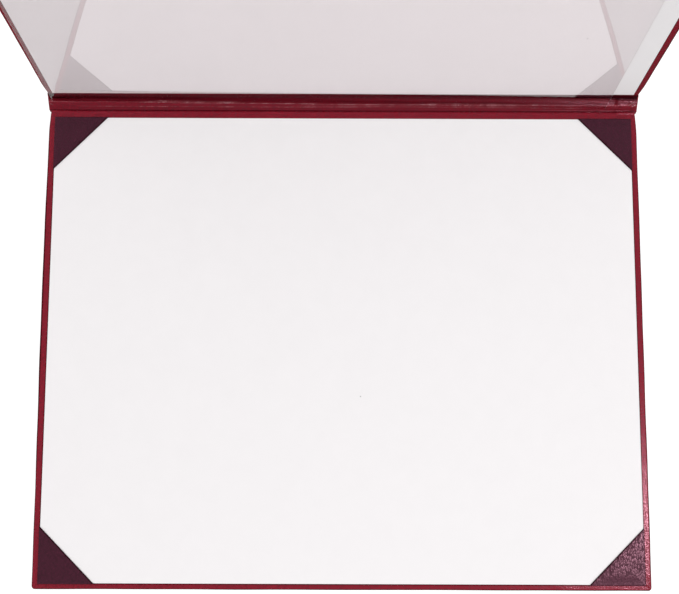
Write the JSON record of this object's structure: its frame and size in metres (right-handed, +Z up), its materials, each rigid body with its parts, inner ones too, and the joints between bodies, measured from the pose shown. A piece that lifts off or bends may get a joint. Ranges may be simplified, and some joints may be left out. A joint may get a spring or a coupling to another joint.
{
  "type": "diploma cover",
  "caption": "Landscape diploma cover in burgundy leatherette, half open, with white liner cards, four corner holders and a clear protective sheet.",
  "frame": {"origin": "middle of the lower panel's underside, which rests on the table", "axes": "+Z up, +Y from the front edge to the hinge edge, +X to the reader's right"},
  "size_m": [0.297, 0.3013, 0.2328],
  "materials": {
    "leatherette": "fine grain, satin",
    "holder_leatherette": "fine grain, satin",
    "liner_card": "smooth, matte",
    "greyboard": "raw",
    "clear_film": "clear, glossy"
  },
  "bodies": {
    "lower_panel": {"lower_board": "greyboard", "lower_cover_skin": "leatherette", "lower_liner_card": "liner_card", "corner_holder_back_left": "holder_leatherette", "corner_holder_back_right": "holder_leatherette", "corner_holder_front_left": "holder_leatherette", "corner_holder_front_right": "holder_leatherette"},
    "spine": {"spine_band": "leatherette", "spine_lining": "leatherette"},
    "upper_panel": {"upper_board": "greyboard", "upper_cover_skin": "leatherette", "upper_liner_card": "liner_card", "clear_sheet": "clear_film"}
  },
  "joints": [
    {"name": "lower_crease", "type": "hinge", "parent": "lower_panel", "child": "spine", "pos_m": [0, 0.11885, 0], "axis": [1, 0, 0], "range_deg": [-26.5, 63.5]},
    {"name": "upper_crease", "type": "hinge", "parent": "spine", "child": "upper_panel", "pos_m": [0, 0.12596, 0.00355], "axis": [1, 0, 0], "range_deg": [-49.2, 40.8]}
  ]
}
